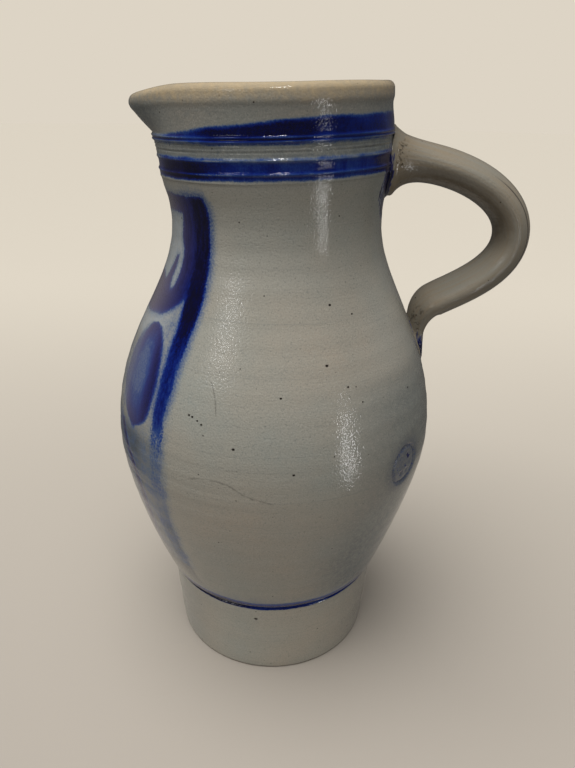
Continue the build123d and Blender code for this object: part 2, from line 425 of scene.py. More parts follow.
# Column angles from +X, finer across the round mark
def bodyColumns():
    m = bodyMesh
    angles = []
    angle = m["firstColumn"]
    while angle < m["lastColumn"]:
        angles.append(angle)
        near = abs(angle - roundMark["turn"] + m["fineStep"]) < m["fineSpan"]
        angle += m["fineStep"] if near else m["columnStep"]
    return np.radians(angles)


# How far the thrown surface stands off its smooth line, outside only
def thrownRelief(turn, level):
    s = thrown
    ringAngle = 2 * math.pi * level
    rings = s["ring"] * np.sin(ringAngle / s["ringSpacing"] - turn)
    rings = rings + s["fineRing"] * np.sin(ringAngle / s["fineSpacing"] + 2 * turn + 1)
    rings *= eased(level, *s["ringsFrom"]) * (1 - eased(level, *s["ringsTo"]))
    rings *= s["ringSwell"][0] + s["ringSwell"][1] * np.sin(level / s["swellRise"] + 2 * turn)
    oval = s["oval"] * np.sin(2 * turn + s["ovalTurn"]) + s["lobe"] * np.sin(3 * turn + level / s["lobeRise"])
    relief = rings + oval * eased(level, *s["ovalFrom"]) * (1 - eased(level, *s["ovalTo"]))
    footRings = s["footRing"] * np.sin(level / s["footRingRise"] + turn)
    relief = relief + footRings * (1 - eased(level, *s["footRingTo"]))
    ragged = 1 + s["ribRagged"] * np.sin(3 * turn + level) + s["ribFine"] * np.sin(7 * turn + 2 * level)
    for centre, width, height in collarRelief:
        relief = relief + height * bell(level, centre, width) * ragged
    relief = relief + s["lipRoll"] * eased(level, *s["lipRollAt"])
    relief = relief - s["lipFall"] * eased(level, *s["lipFallAt"])
    relief = relief - s["rimPress"] * eased(level, *s["rimPressAt"]) * np.clip(np.cos(turn), 0, 1) ** 2
    return relief + markRelief(turn, level)


def markRelief(turn, level):
    s = roundMark
    side = (turn - math.radians(s["turn"]) + math.pi) % (2 * math.pi) - math.pi
    across = side * jugBody["bellyRadius"]
    up = level - s["level"]
    away = np.hypot(across, up)
    relief = -s["dish"] * (1 - eased(away, s["radius"] - s["edgeIn"], s["radius"] + s["edgeOut"]))
    relief = relief - s["ringDepth"] * bell(away, s["ringRadius"], s["ringWidth"])
    centres = [(0.0, 0.0)]
    for dot in range(s["dots"]):
        spot = 2 * math.pi * dot / s["dots"]
        centres.append((s["dotCircle"] * math.cos(spot), s["dotCircle"] * math.sin(spot)))
    for dotAcross, dotUp in centres:
        relief = relief - s["dotHeight"] * bell(np.hypot(across - dotAcross, up - dotUp), 0, s["dotSize"])
    return relief


# 1 at the tip of the spout and 0 outside it, and the degrees away from the tip
def spoutShare(turn):
    s = jugBody
    away = np.abs((np.degrees(turn) % 360) - 180)
    inSpout = np.clip(away / s["spoutHalfAngle"], 0, 1)
    return np.cos(math.pi / 2 * inSpout) ** s["spoutPoint"], away


# The mouth leans towards the spout, and the axis wanders a little
def leaned(x, y, z):
    s = jugBody
    for shift, level, height in thrown["wander"]:
        x = x + shift * bell(z, level, height)
    x = x - thrown["mouthShift"] * eased(z, *thrown["mouthShiftAt"])
    lean = math.tan(math.radians(s["tilt"])) * eased(z, s["tiltFrom"], s["tiltTo"])
    return x, y, z + lean * x


def makeBody(material):
    s = jugBody
    w = thrown
    rows = bodyRows()
    turn = bodyColumns()
    share, away = spoutShare(turn)
    radius, level, push, droop, inside = [rows[:, i][:, None] for i in range(5)]
    underside = level < 0.01
    squeeze = s["thumbPress"] * bell(away, s["thumbTurn"], s["thumbWidth"])
    r = radius + push * (s["spoutPush"] * share - squeeze)
    z = level - s["spoutDroop"] * droop * share
    relief = thrownRelief(turn[None, :], level + 0 * turn[None, :])
    innerRings = w["innerRing"] * np.sin(2 * math.pi * level / w["ringSpacing"] + turn)
    innerRings = innerRings * eased(r, *w["innerRingAt"])
    innerRings = innerRings * (inside > 0.99) * (level < w["innerRingTop"])
    r = r + relief * (1 - inside) * ~underside + innerRings
    rimWave = w["rimWave"] * np.sin(2 * turn + w["rimWaveTurn"]) + w["rimRipple"] * np.sin(5 * turn)
    z = z + rimWave * eased(level, *w["rimWaveAt"])
    z = z + np.where(underside & (r < s["soleRadius"]), s["soleHollow"] * (1 - r / s["soleRadius"]), 0)
    x, y, z = leaned(r * np.cos(turn), r * np.sin(turn), z)
    points = np.stack([x, y, z], axis=-1).reshape(-1, 3)
    poles = np.array([[0, 0, s["soleHollow"]], [0, 0, s["floorThickness"]]])
    steps = np.hypot(np.diff(rows[:, 0], prepend=0), np.diff(rows[:, 1], prepend=0))
    along = np.append(np.cumsum(np.append(0, steps)), 0)
    along[-1] = along[-2] + rows[-1, 0]
    across = np.append(turn - turn[0], 2 * math.pi) / (2 * math.pi)
    faces, corners = tubeFaces(len(rows), len(turn), across, along / along[-1])
    points = np.concatenate([points, poles])
    piece = makePiece("jugBody", points, faces, corners, material, "thrown_body")
    hidden = piece.data.attributes.new("inside", "FLOAT", "POINT")
    hidden.data.foreach_set("value", np.append(np.repeat(rows[:, 4], len(turn)), [0, 1]))


# The pulled handle: millimetres and degrees, the tail counted back from its tip
jugHandle = {
    "width": 29.0, "thickness": 20.0, "reach": 77.3, "rootRise": 5.6, "bowDrop": 41.5, "elbowDrop": 81.3,
    "elbowGap": 21.0, "tailDrop": 123.0, "tailSink": 2.8,
    "rootHeight": 40.0, "rootTop": 33.0, "rootWidth": 39.0, "rootSpread": 8.0,
    "rootSink": 4.6, "rootSlope": 0.01,
    "tailRun": 44.0, "tailEven": 20.0, "tailThickness": 10.7, "tailOuter": 1.5, "tailWidth": 18.0,
    "tipRound": 8.0, "tipEnd": 0.98,
    "armAngle": 30.0, "upperFullness": 0.39, "bowAbove": 0.656, "bowBelow": 0.545, "armFullness": 0.35,
    "elbowFullness": 0.316, "tailFullness": 0.3,
    "ridge": 0.04, "pull": 0.22, "finePull": 0.16, "middleFrom": (10, 40), "middleTo": (15, 50),
    "creaseTurn": 47.0, "creaseWidth": 5.0, "creaseDepth": 0.6, "creasePlace": 0.45, "creaseRun": 0.1,
    "linePoints": (8, 90, 80, 60), "bakeEnd": 4.0, "strapRadius": 20.0,
    "stations": 200, "sides": 72, "deepest": 3.6,
}


# Centre line: wall, upper arm, bow, lower arm, elbow and tail, as points in the upright plane
def handleLine():
    s = jugHandle
    wallX = jugBody["collarRadius"]
    rootZ = jugBody["collarLevel"] + s["rootRise"]
    bowX = jugBody["neckRadius"] + s["reach"]
    bowZ = rootZ - s["bowDrop"]
    elbowZ = rootZ - s["elbowDrop"]
    tailZ = rootZ - s["tailDrop"]
    elbowX = wallRadius(elbowZ) + s["elbowGap"]
    tailX = wallRadius(tailZ) - s["tailSink"]
    arm = np.array([math.cos(math.radians(s["armAngle"])), math.sin(math.radians(s["armAngle"]))])
    root = np.array([wallX, rootZ])
    bow = np.array([bowX, bowZ])
    elbow = np.array([elbowX, elbowZ])
    tail = np.array([tailX, tailZ])
    out = np.array([1, s["rootSlope"]])
    up = np.array([0, 1])
    counts = s["linePoints"]
    lines = [
        bezier([root - s["rootSink"] * out, root], counts[0]),
        bezier([
            root,
            root + s["upperFullness"] * (bowX - wallX) * out,
            bow + s["bowAbove"] * s["bowDrop"] * up,
            bow,
        ], counts[1]),
        bezier([
            bow,
            bow - s["bowBelow"] * (s["elbowDrop"] - s["bowDrop"]) * up,
            elbow + s["armFullness"] * (bowX - elbowX) * arm,
            elbow,
        ], counts[2]),
        bezier([
            elbow,
            elbow - s["elbowFullness"] * (s["elbowDrop"] - s["bowDrop"]) * arm,
            tail + s["tailFullness"] * (s["tailDrop"] - s["elbowDrop"]) * up,
            tail,
        ], counts[3]),
    ]
    line = np.concatenate([lines[0]] + [part[1:] for part in lines[1:]])
    runs = np.append(0, np.cumsum(np.hypot(*np.diff(line, axis=0).T)))
    even = np.linspace(0, runs[-1], s["stations"])
    return np.column_stack([np.interp(even, runs, line[:, 0]), np.interp(even, runs, line[:, 1])]), even


# The strap round its centre line: spread at the root, drawn thin at the tail, creased along the bow
def handleSurface():
    s = jugHandle
    line, run = handleLine()
    heading = np.gradient(line, run, axis=0)
    heading /= np.hypot(heading[:, 0], heading[:, 1])[:, None]
    back = np.column_stack([-heading[:, 1], heading[:, 0]])          # towards the outside of the bow
    around = np.linspace(0, 2 * math.pi, s["sides"], endpoint=False)
    left = run[-1] - run
    spread = np.exp(-np.maximum(run - s["rootSink"], 0) / s["rootSpread"])
    narrow = eased(s["tailRun"] - left, 0, s["tailRun"] - s["tailEven"])
    above = (np.sin(around) > 0)[None, :]
    flare = np.where(above, s["rootTop"], s["rootHeight"]) - s["thickness"]
    thinned = (s["thickness"] - s["tailThickness"]) * np.where(above, s["tailOuter"], 2 - s["tailOuter"])
    thickness = s["thickness"] + flare * spread[:, None] - thinned * narrow[:, None]
    width = s["width"] + (s["rootWidth"] - s["width"]) * spread - (s["width"] - s["tailWidth"]) * narrow
    tip = np.sqrt(1 - np.clip(1 - left / s["tipRound"], 0, s["tipEnd"]) ** 2)
    thickness, width = thickness * tip[:, None], width * tip
    middle = (eased(run, *s["middleFrom"]) * eased(left, *s["middleTo"]))[:, None]
    share = (run / run[-1])[:, None]
    lozenge = 1 + s["ridge"] * middle * np.cos(4 * around)
    pulled = s["pull"] * np.sin(3 * around + 9 * share) + s["finePull"] * np.sin(5 * around - 7 * share + 1)
    facing = np.degrees(around)
    creases = bell(facing, s["creaseTurn"], s["creaseWidth"])
    creases = creases + bell(facing, 180 - s["creaseTurn"], s["creaseWidth"])
    cut = s["creaseDepth"] * creases * bell(share, s["creasePlace"], s["creaseRun"])
    uneven = (pulled - cut) * middle
    side = ((width[:, None] / 2) * lozenge + uneven) * np.cos(around)
    off = ((thickness / 2) * lozenge + uneven) * np.sin(around)
    x = line[:, 0][:, None] + back[:, 0][:, None] * off
    z = line[:, 1][:, None] + back[:, 1][:, None] * off
    # ends stop inside the clay of the wall
    radial = np.hypot(x, side)
    outwards = np.maximum(wallRadius(z) - s["deepest"], radial) / radial
    points = np.stack([x * outwards, -side * outwards, z], axis=-1)
    return points, run, around


def makeHandle(material):
    s = jugHandle
    points, run, around = handleSurface()
    ends = np.array([points[0].mean(axis=0), points[-1].mean(axis=0)])
    along = np.concatenate([[0], run + s["bakeEnd"], [run[-1] + 2 * s["bakeEnd"]]])
    across = np.linspace(0, 1, s["sides"] + 1)
    faces, corners = tubeFaces(len(run), s["sides"], across, along / along[-1])
    flat = np.concatenate([points.reshape(-1, 3), ends])
    piece = makePiece("jugHandle", flat, faces, corners, material, "pulled_handle")
    strap = piece.data.attributes.new("strap", "FLOAT_VECTOR", "POINT")
    circle = [s["strapRadius"] * np.cos(around), s["strapRadius"] * np.sin(around)]
    where = np.stack(np.broadcast_arrays(run[:, None], *circle), axis=-1)
    where = np.concatenate([where.reshape(-1, 3), [[0, 0, 0], [run[-1], 0, 0]]])
    strap.data.foreach_set("vector", where.astype(np.float32).ravel())


# Slip squeezed out round the ends of the handle: millimetres over the wall, stations up the handle
jugLutings = {
    "upperLuting": {"node": "upper_luting", "overWall": 2.2, "upHandle": 6, "lump": 0.3, "seed": 0.0},
    "lowerLuting": {"node": "lower_luting", "overWall": 2.2, "upHandle": 5, "lump": 0.3, "seed": 2.0},
}

# Its section: how deep each edge of it sits in the wall and in the handle, in millimetres
slipSection = {
    "toeSink": 0.4, "topSink": 0.35, "heelSink": 1.6, "heelIn": 1.4, "swell": 0.35,
    "backIn": 1.2, "underSink": 0.6, "lumps": (0.6, 0.4), "faceRows": 9,
}


# Where each side of the strap comes out of the wall, and the point that lies further along it
def seamPoints(points, fromRoot, further):
    rows = points if fromRoot else points[::-1]
    seam = []
    along = []
    for column in range(points.shape[1]):
        stretch = rows[:, column]
        proud = np.hypot(stretch[:, 0], stretch[:, 1]) - wallRadius(stretch[:, 2])
        first = max(int(np.argmax(proud > 0)), 1)
        share = -proud[first - 1] / (proud[first] - proud[first - 1])
        seam.append(stretch[first - 1] + share * (stretch[first] - stretch[first - 1]))
        along.append(stretch[first + further])
    return np.array(seam), np.array(along)


def makeLuting(name, material):
    s = jugLutings[name]
    c = slipSection
    points, _, around = handleSurface()
    seam, along = seamPoints(points, name == "upperLuting", s["upHandle"])
    radial = np.hypot(seam[:, 0], seam[:, 1])
    slope = (wallRadius(seam[:, 2] + 1) - wallRadius(seam[:, 2] - 1)) / 2
    wallOut = np.column_stack([seam[:, 0] / radial, seam[:, 1] / radial, -slope])
    wallOut /= np.linalg.norm(wallOut, axis=1)[:, None]
    outward = seam - seam.mean(axis=0)
    outward -= (outward * wallOut).sum(axis=1)[:, None] * wallOut
    outward /= np.linalg.norm(outward, axis=1)[:, None]
    wide, fine = c["lumps"]
    lump = 1 + s["lump"] * (wide * np.sin(3 * around + s["seed"]) + fine * np.sin(7 * around + 2 * s["seed"]))
    toe = seam + outward * (s["overWall"] * lump)[:, None] - wallOut * c["toeSink"]
    top = along - outward * c["topSink"]
    heel = seam - wallOut * c["heelSink"] - outward * c["heelIn"]
    middle = seam + (outward + wallOut) * c["swell"]
    shares = np.linspace(0, 1, c["faceRows"])
    ring = [(1 - t) ** 2 * toe + 2 * t * (1 - t) * middle + t ** 2 * top for t in shares]
    ring += [(top + heel) / 2 - outward * c["backIn"], heel, (heel + toe) / 2 - wallOut * c["underSink"]]
    smears = np.concatenate([shares, [1, 0.5, 0]])
    grid = np.stack(ring, axis=1)                 # seam by section
    seamCount, sectionCount = grid.shape[:2]
    faces = []
    corners = []
    for i in range(seamCount):
        for j in range(sectionCount):
            n, m = (i + 1) % seamCount, (j + 1) % sectionCount
            here, after = i * sectionCount, n * sectionCount
            faces.append((here + j, here + m, after + m, after + j))
            u0, u1 = i / seamCount, (i + 1) / seamCount
            v0, v1 = j / sectionCount, (j + 1) / sectionCount
            corners += [(u0, v0), (u0, v1), (u1, v1), (u1, v0)]
    piece = makePiece(name, grid.reshape(-1, 3), faces, corners, material, s["node"])
    smear = piece.data.attributes.new("smear", "FLOAT", "POINT")
    smear.data.foreach_set("value", np.tile(smears, seamCount))


# Fired colours, as a paint chart gives them; dusk and fleck also lay painted shade and painted light on the
# body, handleShade and iron painted shade on the handle, and footEdge adds painted contact shadow to the bare
# foot edge
fired = {
    "clay": chart(154, 150, 138), "warm": chart(166, 153, 136), "cool": chart(138, 145, 140),
    "dusk": chart(90, 98, 100), "fleck": chart(176, 173, 162), "frost": chart(164, 171, 176),
    "lip": chart(180, 161, 130), "bare": chart(136, 121, 98), "footEdge": chart(72, 58, 44),
    "iron": chart(34, 27, 24), "pits": chart(66, 57, 46), "slate": chart(34, 46, 64),
    "handleCool": chart(130, 129, 120), "handleWarm": chart(136, 126, 110), "handleShade": chart(104, 92, 77),
    "haze": chart(112, 124, 127), "paleBlue": chart(82, 102, 131), "midBlue": chart(33, 60, 122),
    "blue": chart(4, 27, 103), "deep": chart(2, 6, 60), "violetBlack": chart(7, 6, 34),
    "violetHaze": chart(94, 103, 128), "violet": chart(40, 40, 94), "violetDeep": chart(13, 11, 44),
    "mauve": chart(120, 112, 118),
}

# Cobalt from a thin wash at 0 to a thick stroke at 1, and as manganese turns it violet
blueStops = [
    (0.0, "haze"), (0.22, "paleBlue"), (0.42, "midBlue"),
    (0.62, "blue"), (0.82, "deep"), (1.0, "violetBlack"),
]
violetStops = [(0.0, "violetHaze"), (0.5, "violet"), (1.0, "violetDeep")]


def cobaltColour(load, violet):
    ramps = []
    for stops in (blueStops, violetStops):
        colours = [(share, fired[name]) for share, name in stops]
        ramps.append(load.node("ValToRGB", {"stops": colours}, {0: load}))
    return violet.tint(*ramps)


# The painter's hand: how far it sways in degrees and millimetres, and how the paint breaks up
paintHand = {
    "wave": (0.05, 2), "ripple": (0.11, 2), "grain": (0.95, 3, 0.65),
    "streakRun": (0.7, 0.7, 0.08), "streaks": (1.0, 2),
    "sway": 2.2, "rise": 2.4, "edgeGrain": 2.6, "soft": 2.2, "softIn": 0.85,
}


# What every stroke on the body starts from; a and h are degrees from the spout and height, a little unsteady
class Hand:
    def __init__(self, place, turn, level, radius):
        s = paintHand
        self.level = level
        self.away = abs(turn)
        self.wave = place.noise(*s["wave"])
        self.ripple = place.noise(*s["ripple"])
        self.grain = place.noise(*s["grain"])
        self.streaks = place.stretched(*s["streakRun"]).noise(*s["streaks"])
        self.a = self.away + self.wave * s["sway"]
        self.h = level + self.ripple * s["rise"]
        self.perDegree = radius * (math.pi / 180)

    # paint from how deep a place lies in the stroke, in millimetres
    def stroke(self, depth, soft=paintHand["soft"]):
        return (depth + self.grain * paintHand["edgeGrain"]).ease(-soft, paintHand["softIn"] * soft)

    def inSpan(self, depth, span):
        return depth.least(self.h - span[0]).least(span[1] - self.h)


# The painted panel under the spout: heights in millimetres against degrees from the spout.
# Paint is how heavy a stroke is, thick what its middle adds and hollow what it loses there.
cobaltPanel = {
    "frame": {
        "outer": [(60, 52.0), (190, 52.2), (207, 53.6), (238, 55.5), (266, 57.4), (282, 56.8), (320, 57.2)],
        "inner": 47.3, "top": 308.0, "fade": (170.0, 196.0), "fork": 262.0,
        "cornerFrom": 300, "cornerRound": 0.035,
        "massInner": [(250, 33.0), (256, 34.3), (264, 36.8), (274, 37.6), (286, 35.0), (297, 36.4),
                      (320, 37.0)],
        "massBottom": 253.0, "barBottom": 298.0,
        "topPaint": 0.6, "topThick": 0.08, "topMiddle": (1, 4), "topStreaks": 0.6,
        "core": 0.28, "coreAcross": (2.5, 9.0, 3.5), "coreUp": (248, 307, 18),
        "legPaint": 0.58, "legThick": 0.1, "legMiddle": (1, 5), "legStreaks": 0.5,
        "legDark": 0.32, "legDarkUp": (250, 264, 30),
    },
    "branch": {
        "under": [(0, 239.0), (20, 240.5), (33, 243.0), (42, 248.8), (48, 257.0)],
        "over": [(0, 262.0), (18, 261.0), (26, 258.0), (31, 256.5), (36, 259.0), (48, 266.0)],
        "soft": 3.0, "paint": 0.54, "thick": 0.14, "middle": (1, 5),
    },
    "thin": {
        "outer": [(244, 20.0), (256, 21.5), (262, 25.0), (268, 28.0), (280, 33.0)],
        "inner": [(244, 34.0), (255, 33.0), (260, 31.6), (268, 32.4), (280, 33.4)],
        "span": (246.0, 274.0), "soft": 2.6, "paint": 0.56,
    },
    "petal": {
        "line": [(176, 35.8), (190, 34.2), (207, 33.3), (224, 33.2), (242, 35.0)],
        "half": [(176, 0.0), (180, 1.0), (184, 5.6), (192, 9.9), (207, 12.2), (222, 11.0), (233, 7.0),
                 (239, 0.0)],
        "span": (179.5, 239.5), "soft": 4.6, "paint": 0.57, "streaks": 0.2,
        "hollow": 0.26, "hollowGrain": 7, "hollowDepth": (2, 17),
        "hollowShares": (0.45, 0.55), "hollowUp": (190, 206),
        "nearEdge": 0.2, "nearSide": (4, 9), "farShares": (0.32, 0.68), "farSide": (-12, -3),
    },
    "heart": {
        "half": [(150, 0.0), (165, 5.5), (190, 8.5), (215, 7.5), (234, 0.0)],
        "span": (152.0, 232.0), "soft": 3.4, "paint": 0.78, "hollow": 0.4, "hollowDepth": (3, 10),
    },
    "lowFrame": {
        "line": [(74, 53.0), (89, 50.4), (104, 49.4), (120, 48.8), (145, 49.2), (162, 49.2), (192, 50.0)],
        "load": [(66, 0.0), (78, 0.24), (90, 0.46), (104, 0.74), (118, 0.7), (132, 0.4), (148, 0.3),
                 (168, 0.22), (186, 0.34), (198, 0.0)],
        "half": 5.8, "edge": (-2, 2.5), "edgeGrain": 4, "paint": 1.1, "paintGrain": 1.2,
        "blueUp": (128, 156), "slate": 1.4,                     # blue above, slate below
        "washHalf": 10.0, "washEdge": (-5, 5), "washGrain": 8,
        "washUp": (92, 190, 14), "wash": 0.22, "washRipple": 0.4,
    },
    "lowLine": {
        "line": [(98, 36.0), (111, 36.4), (126, 37.4), (138, 37.2), (153, 35.0), (165, 30.0), (178, 25.0)],
        "half": 3.0, "span": (98.0, 178.0), "soft": 3.6, "paint": 0.85, "streaks": 0.7,
    },
}

# Thin paint round the strokes and over the panel, and where the colours turn slate, mauve or violet
panelWash = {
    "halo": 0.26, "haloGrain": 5, "haloDepth": (-6.5, 0.5), "haloUp": (172, 200),
    "farHalo": 0.07, "farGrain": 16, "farDepth": (-15, -3),
    "clearTurn": (32, 46), "clearUp": (222, 236), "clearHalo": 0.35, "clearWash": 0.6,
    "edge": (-7, 7), "edgeGrain": 14, "washUp": (92, 306, 16),
    "wash": 0.18, "highWash": 0.08, "highUp": (225, 250), "washRipple": 0.4, "washGrain": 0.2,
    "slate": 0.3, "slateUp": (84, 172, 16), "slateMore": 0.55, "slateMoreTurn": (3, 15),
    "slateLess": 0.4, "slateLessTurn": (36, 45),
    "mauve": 0.75, "mauveUp": (170, 190), "mauveTurn": (16, 46), "mauveLoad": (0.16, 0.42), "mauvePetal": 0.3,
    "mauveShares": (0.3, 0.7), "mauveFrom": (5, 16),
    "violet": 0.75, "violetTurn": (41, 50), "violetLoad": (0.3, 0.62), "violetPetal": 0.45,
    "violetTop": 0.35, "violetTopUp": (270, 306, 10), "violetTopTurn": (36, 52, 6),
}


def frameStrokes(hand):
    s = cobaltPanel["frame"]
    a, h = hand.a, hand.h
    outer = h.curve(s["outer"]) - (h - s["cornerFrom"]).most(0) ** 2 * s["cornerRound"]
    outside = (outer - a) * hand.perDegree
    mass = ((a - h.curve(s["massInner"])) * hand.perDegree).least(h - s["massBottom"])
    top = mass.most(h - s["barBottom"]).least(outside).least(s["top"] - h)
    leg = ((a - s["inner"]) * hand.perDegree).least(outside).least(s["fork"] - h)
    core = outside.within(*s["coreAcross"]) * h.within(*s["coreUp"])
    topPaint = s["topPaint"] + s["topThick"] * top.ease(*s["topMiddle"]) + s["core"] * core
    topPaint = topPaint + hand.streaks * s["topStreaks"]
    legPaint = s["legPaint"] + s["legThick"] * leg.ease(*s["legMiddle"])
    legPaint = legPaint + s["legDark"] * h.within(*s["legDarkUp"])
    legPaint = legPaint + hand.streaks * s["legStreaks"]
    load = (hand.stroke(top) * topPaint).most(hand.stroke(leg) * h.ease(*s["fade"]) * legPaint)
    return outside, top, leg, load


def branchStroke(hand):
    s = cobaltPanel["branch"]
    a, h = hand.a, hand.h
    inFrame = (cobaltPanel["frame"]["inner"] - a) * hand.perDegree
    depth = (h - a.curve(s["under"])).least(a.curve(s["over"]) - h).least(inFrame)
    return depth, hand.stroke(depth, s["soft"]) * (s["paint"] + s["thick"] * depth.ease(*s["middle"]))


def thinStroke(hand):
    s = cobaltPanel["thin"]
    across = (hand.a - hand.h.curve(s["outer"])).least(hand.h.curve(s["inner"]) - hand.a) * hand.perDegree
    depth = hand.inSpan(across, s["span"])
    return depth, hand.stroke(depth, s["soft"]) * s["paint"]


def petalStroke(hand):
    s = cobaltPanel["petal"]
    side = hand.a - hand.h.curve(s["line"])
    depth = hand.inSpan((hand.h.curve(s["half"]) - abs(side)) * hand.perDegree, s["span"])
    centre = (depth + hand.grain * s["hollowGrain"]).ease(*s["hollowDepth"])
    always, above = s["hollowShares"]
    paint = s["paint"] - s["hollow"] * centre * (always + above * hand.h.ease(*s["hollowUp"]))
    paint = paint + s["nearEdge"] * side.ease(*s["nearSide"])
    far, near = s["farShares"]
    paint = (paint + hand.streaks * s["streaks"]) * (far + near * side.ease(*s["farSide"]))
    return depth, centre, hand.stroke(depth, s["soft"]) * paint


def heartStroke(hand):
    s = cobaltPanel["heart"]
    depth = hand.inSpan((hand.h.curve(s["half"]) - hand.a) * hand.perDegree, s["span"])
    return hand.stroke(depth, s["soft"]) * (s["paint"] - s["hollow"] * depth.ease(*s["hollowDepth"]))


# The foot of the frame, which thins to a slate wash
def lowFrameStroke(hand):
    s = cobaltPanel["lowFrame"]
    h, grain = hand.h, hand.grain
    depth = s["half"] - abs(hand.a - h.curve(s["line"])) * hand.perDegree
    paint = (depth + grain * s["edgeGrain"]).ease(*s["edge"]) * h.curve(s["load"])
    paint = paint * (s["paint"] + grain * s["paintGrain"] + hand.streaks)
    wash = (depth + s["washHalf"] - s["half"] + grain * s["washGrain"]).ease(*s["washEdge"])
    wash = wash * h.within(*s["washUp"]) * (s["wash"] + hand.ripple * s["washRipple"])
    blue = h.ease(*s["blueUp"])
    return paint * blue, wash, paint * (1 - blue) * s["slate"]


def lowLineStroke(hand):
    s = cobaltPanel["lowLine"]
    depth = hand.inSpan(s["half"] - abs(hand.a - hand.h.curve(s["line"])) * hand.perDegree, s["span"])
    return hand.stroke(depth, s["soft"]) * (s["paint"] + hand.streaks * s["streaks"])


# How heavy the paint of the panel is, and how violet, mauve and slate it has turned
def panelLoad(hand):
    s = panelWash
    a, h, grain = hand.a, hand.h, hand.grain
    outside, top, leg, load = frameStrokes(hand)
    branch, branchLoad = branchStroke(hand)
    thin, thinLoad = thinStroke(hand)
    petal, petalCentre, petalLoad = petalStroke(hand)
    lowBlue, lowWash, lowSlate = lowFrameStroke(hand)
    for more in (branchLoad, thinLoad, petalLoad, heartStroke(hand), lowBlue, lowWash, lowLineStroke(hand)):
        load = load.most(more)

    strokes = top.most(leg).most(branch).most(petal).most(thin)
    halo = (strokes + grain * s["haloGrain"]).ease(*s["haloDepth"]) * s["halo"]
    halo = halo + (strokes + grain * s["farGrain"]).ease(*s["farDepth"]) * s["farHalo"]
    clear = (1 - a.ease(*s["clearTurn"])) * h.ease(*s["clearUp"])
    load = load.most(halo * h.ease(*s["haloUp"]) * (1 - s["clearHalo"] * clear))
    inPanel = (outside + grain * s["edgeGrain"]).ease(*s["edge"])
    washPaint = s["wash"] + s["highWash"] * h.ease(*s["highUp"])
    washPaint = washPaint + hand.ripple * s["washRipple"] + grain * s["washGrain"]
    wash = inPanel * h.within(*s["washUp"]) * washPaint
    load = load.most(wash * (1 - s["clearWash"] * clear))

    slate = s["slate"] + s["slateMore"] * a.ease(*s["slateMoreTurn"])
    slate = slate - s["slateLess"] * a.ease(*s["slateLessTurn"])
    slate = (inPanel * h.within(*s["slateUp"]) * slate).most(lowSlate)
    mauve = (1 - a.ease(*s["mauveTurn"])) * h.ease(*s["mauveUp"]) * load.ease(*s["mauveLoad"])
    mauve = mauve * (s["mauve"] - s["mauvePetal"] * petalCentre)
    always, beside = s["mauveShares"]
    mauve = mauve * (always + beside * a.ease(*s["mauveFrom"]))
    violet = (1 - a.ease(*s["violetTurn"])) * (s["violet"] - s["violetPetal"] * petalCentre)
    violet = violet + s["violetTop"] * h.within(*s["violetTopUp"]) * a.within(*s["violetTopTurn"])
    return load, violet, mauve, slate.least(1)


# Painted bands round the collar and the foot; paint runs off the crests of the ribs
cobaltBands = {
    "upperBottom": 333.6,
    "upperTop": [(0, 336.8), (30, 337.7), (57, 340.7), (75, 342.1), (104, 344.5), (123, 345.1), (180, 345.1)],
    "upperEdge": (-1.8, 2.0), "upperPaint": 0.74, "upperFront": 0.12, "upperFrontTurn": (70, 100, 14),
    "upperBack": 0.1, "upperBackTurn": (118, 150), "upperSpout": 0.2, "upperSpoutTurn": (34, 60),
    "lowerBottom": 317.2, "lowerTop": 327.7, "lowerEdge": (-1.6, 1.6),
    "lowerPaint": 0.66, "lowerStreaks": 0.2,
    "lowerDark": 0.34, "lowerDarkTurn": (32, 52, 9), "lowerBack": 0.2, "lowerBackTurn": (128, 160),
    "lowerShares": (0.55, 0.45), "lowerFade": (0, 4),
    "paintWave": 0.4, "paintRipple": 0.4, "edgeRipple": 1.3, "edgeGrain": 1.0,
    "halo": 0.14, "haloEdge": (-3.2, 0.5),
    "crests": (320.0, 326.3, 334.7, 336.6), "crestHalf": 0.9, "crestWorn": 0.4,
    "footLine": (56.4, 61.5, 0.8), "footRipple": 1.2, "footGrain": 0.8,
    "footPaint": 0.95, "footBack": 0.4, "footBackTurn": (62, 92), "footWave": 0.6,
    "skirtFrom": (57, 59), "skirtFade": (60.0, 69.0), "skirtPaint": 0.74,
    "skirtFront": 0.2, "skirtFrontTurn": (66, 88),
    "skirtWave": 0.5, "skirtGrain": 0.3,
    "washFrom": (55.0, 57.0), "washFade": (59.0, 84.0), "wash": 0.2, "washGrain": 0.3, "washRipple": 0.3,
}


